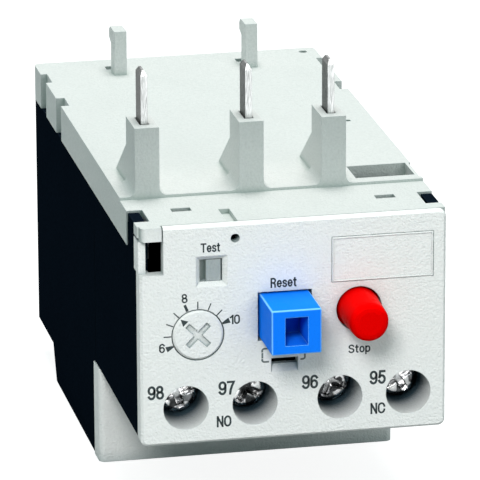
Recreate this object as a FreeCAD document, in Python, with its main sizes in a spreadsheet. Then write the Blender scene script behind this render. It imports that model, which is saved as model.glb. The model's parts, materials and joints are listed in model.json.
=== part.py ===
import FreeCAD, Part
import math
import os
import re
import Sketcher

# Thermal overload relay that plugs into a contactor by three blade pins.
# Millimetres. X runs to the right, Y runs back from the front face, Z is up.
# Sizes are measured from the middle of the width, the front face and the underside.
# Every body is then placed so that the origin is the centre of the underside.

os.makedirs("parts", exist_ok=True)
doc = FreeCAD.newDocument("OverloadRelay")
V = FreeCAD.Vector

SIZES = {
    # housing envelope
    "body_width": 45.0,
    "body_depth": 88.0,
    "deck_z": 47.2,
    "strip_drop": 0.4,
    "strip_depth": 14.5,
    "skirt_height": 5.5,
    "wall": 1.6,
    "floor": 1.6,
    "deck": 2.0,
    "side_inset": 0.15,
    "rear_inset": 0.15,
    "sink": 0.5,
    # front block and the lower block under it
    "block_z": 14.0,
    "block_step_z": 14.8,
    "block_step_y": 22.6,
    "block_step_run": 0.6,
    "block_round": 1.2,
    "lower_front_y": 37.6,
    "plate": 4.2,
    "plate_gap": 0.1,
    "plate_round": 1.0,
    "foot_end_y": 71.8,
    "slope_run": 2.8,
    "rear_step_z": 5.4,
    "front_rim_y": 9.1,
    "side_seam_y": 36.3,
    "seam_groove": 0.3,
    "seam_groove_width": 0.45,
    "seam_groove_down": 6,
    # front cover
    "cover_wall": 1.8,
    "cover_depth": 2.6,
    "cover_inset": 0.1,
    "cover_round": 1.0,
    "cover_bevel": 0.35,
    "ear_depth": 1.6,
    "ear_wall": 1.1,
    "ear_down": 7.4,
    "ear_set_back": 1.2,
    "ear_round": 0.8,
    "seam": 0.15,
    "strip_front_y": 1.2,
    # top cover
    "skirt_wall": 2.4,
    "latch_pocket": 2.3,
    "latch_front_y": 3.6,
    "latch_wall": 1.6,
    "latch_play": 0.3,
    "latch_lead": 0.8,
    "latch_drop": 0.2,
    "tooth_width": 3.0,
    "tooth_height": 2.0,
    "tooth_round": 0.7,
    "tooth_play": 0.2,
    "tooth_in": 0.35,
    # pole towers and pins
    "pole_1_in": 4.1,
    "pole_2_shift": 3.05,
    "pole_3_in": 13.35,
    "tower_width": 3.6,
    "tower_depth": 6.8,
    "tower_height": 10.2,
    "gusset_height": 6.0,
    "gusset_length": 8.2,
    "tower_foot": 1.2,
    "pin_width": 1.0,
    "pin_depth": 3.8,
    "pin_set_back": 1.9,
    "pin_height": 7.9,
    "pin_chamfer": 0.7,
    "pin_point": 0.35,
    "pin_play": 0.2,
    "bus_bar": 1.5,
    "bus_drop": 4.7,
    # hooks that hold the contactor
    "hook_left_in": 12.15,
    "hook_right_in": 12.05,
    "hook_width": 1.95,
    "hook_rear": 9.4,
    "hook_slot_gap": 0.6,
    "hook_slot_length": 1.8,
    "hook_slot_side": 0.6,
    "hook_depth": 3.0,
    "hook_height": 7.0,
    "hook_nose": 1.6,
    "hook_nose_slope": 0.6,
    "hook_nose_height": 1.9,
    # skirt notches
    "notch_a_rear": 11.2,
    "notch_a_length": 4.9,
    "notch_a_depth": 1.0,
    "notch_b_rear": 24.6,
    "notch_b_length": 4.4,
    "notch_b_depth": 1.3,
    # deck opening beside the third tower
    "window_in": 9.6,
    "window_y": 16.6,
    "window_length": 6.1,
    "window_width": 8.8,
    "edge_notch_length": 7.0,
    "edge_notch_depth": 0.3,
    # small slots and holes of the lid
    "strip_slot_left_in": 7.75,
    "strip_slot_right_in": 7.25,
    "strip_slot_y": 7.4,
    "strip_slot_width": 2.9,
    "strip_slot_length": 1.6,
    "front_notch_in": 13.8,
    "front_notch_width": 1.6,
    "front_notch_length": 6.0,
    "front_notch_drop": 0.7,
    "corner_hole_in": 2.2,
    "corner_hole_radius": 0.65,
    "deck_hole_in": 4.0,
    "deck_hole_rear": 41.8,
    "deck_hole_radius": 0.45,
    # auxiliary terminals
    "aux_up": 5.6,
    "aux_98_in": 6.7,
    "aux_97_in": 16.8,
    "aux_96_in": 15.7,
    "aux_95_in": 5.6,
    "driver_hole_radius": 3.3,
    "tube_wall": 0.8,
    "tube_end_y": 10.0,
    "head_radius": 2.95,
    "head_height": 3.2,
    "head_bevel": 0.7,
    "recess_length": 4.6,
    "recess_width": 1.15,
    "recess_depth": 1.7,
    "screw_slot_width": 0.95,
    "screw_slot_depth": 0.9,
    "head_gap": 0.1,
    "shank_radius": 1.5,
    "shank_length": 9.2,
    "shank_play": 0.05,
    "terminal_plate": 0.8,
    "terminal_width": 6.4,
    "terminal_height": 8.0,
    "arm_width": 2.0,
    "arm_height": 11.0,
    "nut_width": 5.8,
    "nut_plate": 2.0,
    "nut_open": 3.9,
    "nut_play": 0.2,
    "rib_gap": 0.2,
    "rib": 1.0,
    "wire_hole_width": 5.0,
    "wire_hole_length": 4.4,
    # reset and stop buttons
    "reset_shift": 1.3,
    "reset_up": 18.6,
    "reset_width": 7.3,
    "reset_height": 6.7,
    "reset_round": 0.3,
    "reset_socket_up": 0.1,
    "reset_reach": 8.0,
    "reset_socket_width": 3.3,
    "reset_socket_height": 4.2,
    "reset_socket_depth": 6.0,
    "button_play": 0.3,
    "button_flange": 1.0,
    "flange_gap": 0.1,
    "button_tail": 2.4,
    "stop_in": 12.9,
    "stop_up": 18.8,
    "stop_radius": 3.05,
    "stop_front_radius": 2.85,
    "stop_reach": 7.3,
    "stop_round": 1.1,
    # setting dial
    "dial_in": 8.5,
    "dial_up": 16.5,
    "dial_radius": 3.7,
    "dial_proud": 0.25,
    "dial_play": 0.15,
    "dial_shaft_radius": 2.0,
    "dial_shaft_length": 4.6,
    "slot_length": 4.4,
    "slot_width": 0.85,
    "slot_depth": 0.45,
    "pointer_depth": 0.3,
    "pointer_tip": 3.45,
    "pointer_base": 2.72,
    "pointer_half": 0.46,
    "dial_edge": 0.3,
    # test slide
    "test_in": 10.55,
    "test_down": 7.3,
    "test_width": 3.3,
    "test_height": 3.3,
    "test_bevel": 0.65,
    "test_tab_width": 2.1,
    "test_offset": 0.35,
    "test_play": 0.08,
    "test_tab_front_y": 0.6,
    "test_plate": 0.8,
    "test_margin": 1.5,
    # marking plate
    "label_in": 9.45,
    "label_down": 6.8,
    "label_width": 14.9,
    "label_height": 6.7,
    "label_play": 0.06,
    "label_depth": 0.7,
    "label_bead": 0.13,
    "label_bead_width": 0.3,
    "label_bead_bevel": 0.1,
    # driver slot under the reset button and the pilot hole
    "driver_slot_shift": 1.35,
    "driver_slot_up": 11.1,
    "driver_slot_width": 3.9,
    "driver_slot_height": 1.1,
    "driver_ramp": 1.0,
    "ramp_depth": 0.8,
    "pilot_in": 14.0,
    "pilot_down": 2.6,
    "pilot_radius": 0.65,
    # bimetal chamber
    "load_bar_width": 4.0,
    "load_bar": 1.5,
    "bimetal_y": 59.0,
    "bimetal_width": 3.6,
    "bimetal": 0.9,
    "bimetal_height": 27.0,
    "heater_z": 6.0,
    "heater_height": 18.0,
    "heater_play": 0.35,
    "heater_wall": 1.0,
    "heater_lug": 1.8,
    "slide_z": 26.6,
    "slide_height": 3.0,
    "slide_bar": 2.0,
    "slide_gap": 0.3,
    "finger": 1.2,
    "finger_reach": 3.6,
    "post": 1.6,
    "post_length": 3.0,
    "post_lead": 0.2,
}

# Places and sizes worked out from the driving dimensions.
DERIVED = {
    "half_width": "body_width / 2",
    "rim_z": "deck_z - skirt_height",
    "latch_tip_z": "strip_z - latch_drop",
    "tooth_z": "strip_z - tooth_height",
    "pole_1_x": "pole_1_in - half_width",
    "pole_2_x": "0 - pole_2_shift",
    "pole_3_x": "half_width - pole_3_in",
    "bus_z": "rim_z - bus_drop",
    "hook_left_x": "hook_left_in - half_width",
    "hook_right_x": "half_width - hook_right_in",
    "hook_y": "body_depth - hook_rear",
    "notch_a_y": "body_depth - notch_a_rear",
    "notch_b_y": "body_depth - notch_b_rear",
    "window_x": "half_width - window_in",
    "strip_slot_left_x": "strip_slot_left_in - half_width",
    "strip_slot_right_x": "half_width - strip_slot_right_in",
    "front_notch_x": "front_notch_in - half_width",
    "aux_z": "block_z + aux_up",
    "aux_98_x": "aux_98_in - half_width",
    "aux_97_x": "aux_97_in - half_width",
    "aux_96_x": "half_width - aux_96_in",
    "aux_95_x": "half_width - aux_95_in",
    "reset_x": "0 - reset_shift",
    "reset_z": "block_z + reset_up",
    "stop_x": "half_width - stop_in",
    "stop_z": "block_z + stop_up",
    "dial_x": "dial_in - half_width",
    "dial_z": "block_z + dial_up",
    "test_x": "test_in - half_width",
    "test_z": "deck_z - test_down",
    "label_x": "half_width - label_in",
    "label_z": "deck_z - label_down",
    "driver_slot_x": "0 - driver_slot_shift",
    "driver_slot_z": "block_z + driver_slot_up",
    "pilot_x": "pilot_in - half_width",
    "pilot_z": "deck_z - pilot_down",
    "ear_z": "deck_z - ear_down",
    "post_1_x": "(pole_1_x + pole_2_x) / 2",
    "post_2_x": "(pole_2_x + pole_3_x) / 2",
    "base_half": "half_width - side_inset",
    "base_inside": "base_half - wall",
    "base_rear_y": "body_depth - rear_inset",
    "strip_z": "deck_z - strip_drop",
    "deck_under_z": "deck_z - deck",
    "cover_half": "half_width - cover_inset",
    "cover_under_z": "block_z + cover_inset",
    "cover_inside": "cover_half - wall",
    "block_floor_z": "block_z + wall - 0.2",
    "lower_plate_y": "lower_front_y - plate",
    "tower_end_y": "strip_depth + tower_depth",
    "tower_z": "deck_z + tower_height",
    "pin_y": "strip_depth + pin_set_back",
    "pin_end_y": "pin_y + pin_depth",
    "pin_z": "tower_z + pin_height",
    "floor_z": "floor",
    "heater_y": "bimetal_y - heater_play - heater_lug",
    "heater_end_y": "bimetal_y + bimetal_width + heater_play + heater_wall",
    "heater_top_z": "heater_z + heater_height",
    "slide_y": "bimetal_y + bimetal_width + slide_gap + 0.5",
    "head_end_y": "tube_end_y - head_gap",
    "head_y": "head_end_y - head_height",
    "terminal_end_y": "tube_end_y + terminal_plate",
    "nut_y": "terminal_end_y + nut_open",
    "flange_y": "cover_wall + flange_gap",
    "latch_end_y": "front_rim_y + seam",
    "latch_inner": "half_width - latch_pocket",
    "nose_z": "deck_z + hook_height - hook_nose_height",
    "test_back_y": "cover_wall + flange_gap",
    "seat_y": "(lower_plate_y + foot_end_y) / 2",
}

POLES = {1: "pole_1_x", 2: "pole_2_x", 3: "pole_3_x"}
AUX = {95: "aux_95_x", 96: "aux_96_x", 97: "aux_97_x", 98: "aux_98_x"}
SCREW_TURNS = {95: 30, 96: -20, 97: -25, 98: 15}
HOOKS = {"left": "hook_left_x", "right": "hook_right_x"}

sheet = doc.addObject("Spreadsheet::Sheet", "sizes")
for row, (name, value) in enumerate(SIZES.items(), start=1):
    cell = "A%d" % row
    sheet.set(cell, str(value))
    sheet.setAlias(cell, name)
doc.recompute()


def bound(text):
    """Turn a formula in plain size names into an expression on the sheet."""
    def swap(match):
        word = match.group(0)
        if word in SIZES:
            return "sizes." + word
        if word in DERIVED:
            return "(" + bound(DERIVED[word]) + ")"
        raise ValueError("unknown size " + word)
    return re.sub(r"[A-Za-z_]\w*", swap, str(text))


PLANES = {"x": ("YZ_Plane", 1), "y": ("XZ_Plane", -1), "z": ("XY_Plane", 1)}


def new_body(label):
    body = doc.addObject("PartDesign::Body", label)
    body.Label = label
    body.setExpression("Placement.Base.y", bound("0 - seat_y"))
    return body


def new_sketch(body, axis, place):
    """A sketch square to an axis, at a place along it."""
    role, sign = PLANES[axis]
    plane = [item for item in body.Origin.OriginFeatures if item.Role == role][0]
    sketch = body.newObject("Sketcher::SketchObject", body.Label + "_sketch")
    sketch.AttachmentSupport = [(plane, "")]
    sketch.MapMode = "FlatFace"
    formula = "%d * (%s)" % (sign, bound(place))
    sketch.setExpression(".AttachmentOffset.Base.z", formula)
    return sketch


def fix_point(sketch, index, end, across, up):
    """Hold one sketch point at two formulas, measured from the origin."""
    for kind, formula in (("DistanceX", across), ("DistanceY", up)):
        row = sketch.addConstraint(Sketcher.Constraint(kind, -1, 1, index, end, 1.0))
        sketch.setExpression("Constraints[%d]" % row, bound(formula))


def polygon(sketch, points):
    """A closed outline of straight lines through the points."""
    count = len(points)
    first = sketch.GeometryCount
    turn = 2 * math.pi / count
    ring = [V(math.cos(turn * i), math.sin(turn * i), 0) for i in range(count)]
    for i in range(count):
        sketch.addGeometry(Part.LineSegment(ring[i], ring[(i + 1) % count]), False)
    for i in range(count):
        after = first + (i + 1) % count
        sketch.addConstraint(Sketcher.Constraint("Coincident", first + i, 2, after, 1))
    for i, (across, up) in enumerate(points):
        fix_point(sketch, first + i, 1, across, up)


def rectangle(sketch, left, right, low, high):
    polygon(sketch, [(left, low), (right, low), (right, high), (left, high)])


def centred(sketch, across, up, width, height):
    """A rectangle around a centre."""
    rectangle(sketch, "%s - (%s) / 2" % (across, width), "%s + (%s) / 2" % (across, width),
              "%s - (%s) / 2" % (up, height), "%s + (%s) / 2" % (up, height))


def turned_bar(sketch, across, up, length, width, degrees):
    """A rectangle around a centre, turned by an angle."""
    cosine = math.cos(math.radians(degrees))
    sine = math.sin(math.radians(degrees))
    points = []
    for along, side in ((-1, -1), (1, -1), (1, 1), (-1, 1)):
        points.append(tuple("%s + (%s) / 2 * %.6f + (%s) / 2 * %.6f" % (middle, length, run, width, rise)
                            for middle, run, rise in ((across, along * cosine, 0 - side * sine),
                                                      (up, along * sine, side * cosine))))
    polygon(sketch, points)


def circle(sketch, across, up, radius):
    index = sketch.addGeometry(Part.Circle(V(1, 1, 0), V(0, 0, 1), 1), False)
    fix_point(sketch, index, 3, across, up)
    row = sketch.addConstraint(Sketcher.Constraint("Radius", index, 1.0))
    sketch.setExpression("Constraints[%d]" % row, bound(radius))


def extrude(body, kind, axis, start, end, draw):
    """Pad or pocket, from start to end along an axis, the outlines that draw() makes."""
    sketch = new_sketch(body, axis, start)
    draw(sketch)
    feature = body.newObject("PartDesign::" + kind, body.Label + "_" + kind.lower())
    feature.Profile = sketch
    feature.setExpression("Length", bound("(%s) - (%s)" % (end, start)))
    along_normal = PLANES[axis][1] > 0
    feature.Reversed = along_normal if kind == "Pocket" else not along_normal
    return feature


def pad(body, axis, start, end, draw):
    return extrude(body, "Pad", axis, start, end, draw)


def pocket(body, axis, start, end, draw):
    return extrude(body, "Pocket", axis, start, end, draw)


def revolve_y(body, across, up, profile):
    """Revolve a (radius, y) profile about the line along Y through (across, up)."""
    sketch = new_sketch(body, "z", up)
    sketch.setExpression(".AttachmentOffset.Base.x", bound(across))
    polygon(sketch, profile)
    feature = body.newObject("PartDesign::Revolution", body.Label + "_revolution")
    feature.Profile = sketch
    feature.ReferenceAxis = (sketch, ["V_Axis"])
    feature.Angle = 360.0
    return feature


def round_edges(body, kind, size, chosen):
    """Fillet or chamfer the edges of the tip that chosen(edge) accepts."""
    doc.recompute()
    tip = body.Tip
    names = ["Edge%d" % i for i, edge in enumerate(tip.Shape.Edges, start=1) if chosen(edge)]
    feature = body.newObject("PartDesign::" + kind, body.Label + "_" + kind.lower())
    feature.Base = (tip, names)
    feature.setExpression("Radius" if kind == "Fillet" else "Size", bound(size))
    return feature


def runs_along(edge, axis):
    if not isinstance(edge.Curve, (Part.Line, Part.LineSegment)):
        return False
    start, end = edge.Vertexes[0].Point, edge.Vertexes[-1].Point
    return (end - start).normalize().isEqual(axis, 1e-6) or (start - end).normalize().isEqual(axis, 1e-6)


def base_housing():
    """The black moulding: a deep tray with the front block hanging out over the terminals."""
    body = new_body("base_housing")
    pad(body, "x", "0 - base_half", "base_half", lambda s: polygon(s, [
        ("cover_depth", "block_z"),
        ("block_step_y", "block_z"),
        ("block_step_y + block_step_run", "block_step_z"),
        ("lower_front_y", "block_step_z"),
        ("lower_front_y", "0"),
        ("foot_end_y", "0"),
        ("foot_end_y + slope_run", "rear_step_z"),
        ("base_rear_y", "rear_step_z"),
        ("base_rear_y", "rim_z"),
        ("front_rim_y", "rim_z"),
        ("front_rim_y", "deck_under_z"),
        ("cover_depth", "deck_under_z")]))
    pocket(body, "x", "0 - base_inside", "base_inside", lambda s: polygon(s, [
        ("cover_depth - 1", "block_floor_z"),
        ("block_step_y", "block_floor_z"),
        ("block_step_y + block_step_run", "block_floor_z + block_step_z - block_z"),
        ("lower_front_y + wall", "block_floor_z + block_step_z - block_z"),
        ("lower_front_y + wall", "floor_z"),
        ("foot_end_y - 1", "floor_z"),
        ("foot_end_y + slope_run - 1", "rear_step_z + floor"),
        ("base_rear_y - wall", "rear_step_z + floor"),
        ("base_rear_y - wall", "deck_z + 1"),
        ("cover_depth - 1", "deck_z + 1")]))
    # latch fingers that snap up through the top cover
    for inner, outer in (("0 - base_half", "0 - base_half + latch_wall"),
                         ("base_half - latch_wall", "base_half")):
        pad(body, "x", inner, outer, lambda s: polygon(s, [
            ("latch_front_y + latch_play", "rim_z - 1"),
            ("front_rim_y - latch_play", "rim_z - 1"),
            ("front_rim_y - latch_play", "latch_tip_z"),
            ("latch_front_y + latch_play + latch_lead", "latch_tip_z"),
            ("latch_front_y + latch_play", "latch_tip_z - latch_lead")]))

    pocket(body, "y", "cover_depth - 1", "cover_depth + ear_depth + plate_gap",
           lambda s: rectangle(s, "0 - half_width - 1", "0 - cover_half + ear_wall + plate_gap",
                               "ear_z - plate_gap", "tooth_z"))

    def nut_ribs(sketch):
        for place in AUX.values():
            for side in ("-", "+"):
                middle = "%s %s (nut_width / 2 + nut_play + rib / 2)" % (place, side)
                rectangle(sketch, middle + " - rib / 2", middle + " + rib / 2",
                          "terminal_end_y + rib_gap", "nut_y + nut_plate + 1")

    pad(body, "z", "block_floor_z - sink", "aux_z + nut_width / 2", nut_ribs)

    def wire_holes(sketch):
        for place in AUX.values():
            rectangle(sketch, place + " - wire_hole_width / 2", place + " + wire_hole_width / 2",
                      "terminal_end_y + rib_gap", "terminal_end_y + rib_gap + wire_hole_length")

    pocket(body, "z", "block_z - 1", "block_floor_z + 1", wire_holes)

    def slide_posts(sketch):
        for place in ("post_1_x", "post_2_x"):
            rectangle(sketch, place + " - post / 2", place + " + post / 2",
                      "slide_y - post_lead", "slide_y - post_lead + post_length")

    pad(body, "z", "floor_z - sink", "slide_z - slide_gap", slide_posts)
    # seam groove down each side, where the front block meets the lower block
    for start, end in (("0 - base_half - 1", "0 - base_half + seam_groove"),
                       ("base_half - seam_groove", "base_half + 1")):
        pocket(body, "x", start, end, lambda s: rectangle(
            s, "side_seam_y", "side_seam_y + seam_groove_width", "block_z - 1",
            "rim_z - seam_groove_down"))
    round_edges(body, "Fillet", "block_round", lambda edge: runs_along(edge, V(0, 1, 0))
                and edge.CenterOfMass.y < SIZES["block_step_y"]
                and edge.CenterOfMass.z < SIZES["block_z"] + SIZES["sink"]
                and abs(edge.CenterOfMass.x) > SIZES["body_width"] / 2 - SIZES["wall"])
    return body


def top_cover():
    """The pale lid with the pole towers, their gussets and the two contactor hooks."""
    body = new_body("top_cover")
    pad(body, "z", "rim_z", "deck_z", lambda s: rectangle(
        s, "0 - half_width", "half_width", "strip_front_y", "body_depth"))
    round_edges(body, "Fillet", "cover_round", lambda edge: runs_along(edge, V(0, 0, 1))
                and edge.CenterOfMass.y > SIZES["body_depth"] / 2)
    pocket(body, "z", "rim_z - 1", "deck_under_z", lambda s: rectangle(
        s, "0 - half_width + skirt_wall", "half_width - skirt_wall",
        "front_rim_y", "body_depth - skirt_wall"))
    pocket(body, "z", "rim_z - 1", "deck_under_z", lambda s: rectangle(
        s, "0 - half_width - 1", "half_width + 1", "0", "latch_end_y"))
    pocket(body, "z", "strip_z", "deck_z + 1", lambda s: rectangle(
        s, "0 - half_width - 1", "half_width + 1", "0", "strip_depth"))

    def latch_pockets(sketch):
        rectangle(sketch, "0 - half_width - 1", "0 - latch_inner", "latch_front_y", "latch_end_y")
        rectangle(sketch, "latch_inner", "half_width + 1", "latch_front_y", "latch_end_y")

    pocket(body, "z", "deck_under_z - 1", "deck_z + 1", latch_pockets)
    # corner tooth that closes the little window of the front cover
    pad(body, "y", "0", "strip_front_y + 1", lambda s: rectangle(
        s, "0 - half_width + tooth_in", "0 - half_width + tooth_in + tooth_width",
        "tooth_z", "strip_z"))
    round_edges(body, "Fillet", "tooth_round", lambda edge: runs_along(edge, V(0, 0, 1))
                and edge.CenterOfMass.y < 1 and edge.CenterOfMass.x < 1 - SIZES["body_width"] / 2)

    def towers(sketch):
        for place in POLES.values():
            rectangle(sketch, place + " - tower_width / 2", place + " + tower_width / 2",
                      "strip_depth", "tower_end_y")

    pad(body, "z", "deck_z - 1", "tower_z", towers)
    # concave feet either side of each tower
    round_edges(body, "Fillet", "tower_foot", lambda edge: runs_along(edge, V(0, 1, 0))
                and abs(edge.CenterOfMass.z - SIZES["deck_z"]) < 1e-6
                and abs(edge.Length - SIZES["tower_depth"]) < 1e-6)
    for place in POLES.values():
        left = place + " - tower_width / 2"
        right = place + " + tower_width / 2"
        pad(body, "x", left, right, lambda s: polygon(s, [
            ("tower_end_y - sink", "deck_z - sink"),
            ("tower_end_y + gusset_length", "deck_z - sink"),
            ("tower_end_y + gusset_length", "deck_z"),
            ("tower_end_y", "deck_z + gusset_height"),
            ("tower_end_y - sink", "deck_z + gusset_height")]))
    def sockets(sketch):
        for place in POLES.values():
            rectangle(sketch, place + " - pin_width / 2 - pin_play",
                      place + " + pin_width / 2 + pin_play",
                      "pin_y - pin_play", "pin_end_y + pin_play")

    pocket(body, "z", "deck_under_z - 1", "tower_z + 1", sockets)
    for place in HOOKS.values():
        pad(body, "x", place + " - hook_width / 2", place + " + hook_width / 2",
            lambda s: polygon(s, [
                ("hook_y", "deck_z - sink"),
                ("hook_y + hook_depth", "deck_z - sink"),
                ("hook_y + hook_depth", "nose_z - hook_nose_slope"),
                ("hook_y + hook_depth + hook_nose", "nose_z"),
                ("hook_y + hook_depth + hook_nose", "nose_z + hook_nose_height * 0.6"),
                ("hook_y + hook_depth + hook_nose * 0.4", "deck_z + hook_height"),
                ("hook_y", "deck_z + hook_height")]))

    def hook_slots(sketch):
        for place in HOOKS.values():
            rectangle(sketch, place + " - hook_width / 2 - hook_slot_side", place + " + hook_width / 2",
                      "hook_y + hook_depth + hook_slot_gap",
                      "hook_y + hook_depth + hook_slot_gap + hook_slot_length")

    pocket(body, "z", "deck_under_z - 1", "deck_z + 1", hook_slots)

    def skirt_notches(sketch):
        for side in ("0 - ", "0 + "):
            for letter in ("a", "b"):
                low = "notch_%s_y" % letter
                high = "notch_%s_y + notch_%s_length" % (letter, letter)
                far = side + "(half_width + 1)"
                near = side + "(half_width - notch_%s_depth)" % letter
                rectangle(sketch, far, near, low, high)

    pocket(body, "z", "rim_z - 1", "deck_z + 1", skirt_notches)

    def deck_window(sketch):
        rectangle(sketch, "window_x", "window_x + window_width",
                  "window_y", "window_y + window_length")

    pocket(body, "z", "deck_under_z - 1", "deck_z + 1", deck_window)
    pocket(body, "z", "rim_z + 2", "deck_z + 1", lambda s: rectangle(
        s, "half_width - edge_notch_depth", "half_width + 1",
        "window_y - 1", "window_y - 1 + edge_notch_length"))

    def slots_and_holes(sketch):
        for place in ("strip_slot_left_x", "strip_slot_right_x"):
            centred(sketch, place, "strip_slot_y + strip_slot_length / 2",
                    "strip_slot_width", "strip_slot_length")
        circle(sketch, "half_width - corner_hole_in", "body_depth - corner_hole_in",
               "corner_hole_radius")
        circle(sketch, "half_width - deck_hole_in", "body_depth - deck_hole_rear",
               "deck_hole_radius")

    pocket(body, "z", "deck_under_z - 1", "deck_z + 1", slots_and_holes)
    pocket(body, "z", "strip_z - front_notch_drop", "deck_z + 1", lambda s: rectangle(
        s, "front_notch_x - front_notch_width / 2", "front_notch_x + front_notch_width / 2",
        "0", "strip_front_y + front_notch_length"))
    return body


def front_cover():
    """The pale face with its driver tubes, windows and recesses."""
    body = new_body("front_cover")
    rim_height = SIZES["deck_z"] - SIZES["skirt_height"]
    pad(body, "y", "0", "cover_depth", lambda s: rectangle(
        s, "0 - cover_half", "cover_half", "cover_under_z", "strip_z"))
    round_edges(body, "Fillet", "cover_round", lambda edge: runs_along(edge, V(0, 1, 0))
                and not (edge.CenterOfMass.x < 0 and edge.CenterOfMass.z > rim_height))
    round_edges(body, "Chamfer", "cover_bevel", lambda edge: edge.BoundBox.YMax < 1e-6)
    pocket(body, "y", "cover_wall", "cover_depth + 1", lambda s: rectangle(
        s, "0 - cover_inside", "cover_inside", "cover_under_z + wall", "deck_under_z"))
    # room for the strip of the top cover, which lies on top of this wall
    pocket(body, "y", "strip_front_y - seam", "cover_depth + 1", lambda s: rectangle(
        s, "0 - half_width - 1", "half_width + 1", "deck_under_z", "deck_z"))

    def driver_holes(sketch):
        for place in AUX.values():
            circle(sketch, place, "aux_z", "driver_hole_radius")

    for place in AUX.values():
        pad(body, "y", "cover_wall - sink", "tube_end_y", lambda s: circle(
            s, place, "aux_z", "driver_hole_radius + tube_wall"))
    # the last tube is flattened where it would meet the side wall of the base
    pocket(body, "y", "cover_depth", "tube_end_y + 1", lambda s: rectangle(
        s, "base_inside - seam", "half_width + 1", "block_z", "deck_z"))
    pocket(body, "y", "0 - 1", "tube_end_y + 1", driver_holes)

    def round_the_test_window(edge):
        reach = SIZES["test_width"] / 2 + SIZES["test_height"] / 4
        away = edge.CenterOfMass - V(SIZES["test_in"] - SIZES["body_width"] / 2, 0,
                                     SIZES["deck_z"] - SIZES["test_down"])
        return edge.BoundBox.YMax < 1e-6 and away.Length < reach

    def openings(sketch):
        circle(sketch, "dial_x", "dial_z", "dial_radius + dial_play")
        circle(sketch, "stop_x", "stop_z", "stop_radius + button_play")
        centred(sketch, "reset_x", "reset_z", "reset_width + 2 * button_play",
                "reset_height + 2 * button_play")
        centred(sketch, "test_x", "test_z", "test_width", "test_height")
        centred(sketch, "driver_slot_x", "driver_slot_z + driver_slot_height / 2",
                "driver_slot_width", "driver_slot_height")
        circle(sketch, "pilot_x", "pilot_z", "pilot_radius")

    pocket(body, "y", "0 - 1", "cover_depth + 1", openings)
    round_edges(body, "Chamfer", "test_bevel", round_the_test_window)
    # sloping lead-in under the driver slot
    pocket(body, "x", "driver_slot_x - driver_slot_width / 2", "driver_slot_x + driver_slot_width / 2",
           lambda s: polygon(s, [
               ("0 - 1", "driver_slot_z + driver_slot_height / 2"),
               ("0 - 1", "driver_slot_z - driver_ramp"),
               ("0", "driver_slot_z - driver_ramp"),
               ("ramp_depth", "driver_slot_z"),
               ("ramp_depth", "driver_slot_z + driver_slot_height / 2")]))
    # ear that runs back beside the corner window
    pad(body, "y", "cover_depth - sink", "cover_depth + ear_depth", lambda s: rectangle(
        s, "0 - cover_half", "0 - cover_half + ear_wall", "ear_z", "tooth_z - tooth_play"))
    pocket(body, "y", "0 - 1", "label_depth", lambda s: centred(
        s, "label_x", "label_z", "label_width + 2 * label_play", "label_height + 2 * label_play"))
    # corner window under the tooth of the top cover
    pocket(body, "y", "0 - 1", "cover_depth + 1", lambda s: rectangle(
        s, "0 - half_width - 1", "0 - half_width + tooth_in + tooth_play + tooth_width",
        "tooth_z - tooth_play", "deck_z"))
    pocket(body, "y", "0 - 1", "cover_depth + 1", lambda s: rectangle(
        s, "0 - cover_half + ear_wall", "0 - half_width + tooth_in + tooth_play + tooth_width",
        "ear_z", "tooth_z"))
    # the ear beside the window stands back from the face
    pocket(body, "y", "0 - 1", "ear_set_back", lambda s: rectangle(
        s, "0 - half_width - 1", "0 - cover_half + ear_wall + ear_round", "ear_z", "tooth_z"))
    return body


def terminal_cover():
    """The plain hollow cover that closes the lower block in front."""
    body = new_body("terminal_cover")
    pad(body, "y", "lower_plate_y", "lower_front_y", lambda s: rectangle(
        s, "0 - half_width", "half_width", "0", "block_step_z - plate_gap"))
    round_edges(body, "Fillet", "plate_round", lambda edge: runs_along(edge, V(0, 0, 1))
                and edge.CenterOfMass.y < SIZES["lower_front_y"] - SIZES["plate"] / 2)
    pocket(body, "y", "lower_plate_y + wall", "lower_front_y + 1", lambda s: rectangle(
        s, "0 - half_width + wall", "half_width - wall",
        "wall", "block_step_z - plate_gap - wall"))
    return body


def current_dial():
    """Setting dial with a cross slot and an arrow."""
    body = new_body("current_dial")
    revolve_y(body, "dial_x", "dial_z", [
        ("0", "0 - dial_proud"), ("dial_radius - dial_edge", "0 - dial_proud"),
        ("dial_radius", "dial_edge - dial_proud"),
        ("dial_radius", "cover_wall"), ("dial_shaft_radius", "cover_wall"),
        ("dial_shaft_radius", "cover_wall + dial_shaft_length"), ("0", "cover_wall + dial_shaft_length")])
    for degrees in (45, -45):
        pocket(body, "y", "0 - dial_proud - 1", "slot_depth - dial_proud", lambda s: turned_bar(
            s, "dial_x", "dial_z", "slot_length", "slot_width", degrees))
    tip = "pointer_tip * 0.7071"
    near = "(pointer_base - pointer_half) * 0.7071"
    far = "(pointer_base + pointer_half) * 0.7071"
    pocket(body, "y", "0 - dial_proud - 1", "pointer_depth - dial_proud", lambda s: polygon(s, [
        ("dial_x - " + tip, "dial_z + " + tip),
        ("dial_x - " + far, "dial_z + " + near),
        ("dial_x - " + near, "dial_z + " + far)]))
    return body


def reset_button():
    """Square blue button with a square socket in its front and a flange behind the cover."""
    body = new_body("reset_button")
    pad(body, "y", "0 - reset_reach", "flange_y + button_flange + button_tail",
        lambda s: centred(s, "reset_x", "reset_z", "reset_width", "reset_height"))
    round_edges(body, "Fillet", "reset_round", lambda edge: edge.CenterOfMass.y < 1)
    pad(body, "y", "flange_y", "flange_y + button_flange", lambda s: centred(
        s, "reset_x", "reset_z", "reset_width + 2 * button_flange",
        "reset_height + 2 * button_flange"))
    pocket(body, "y", "0 - reset_reach - 1", "reset_socket_depth - reset_reach",
           lambda s: centred(s, "reset_x", "reset_z + reset_socket_up",
                             "reset_socket_width", "reset_socket_height"))
    return body


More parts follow.
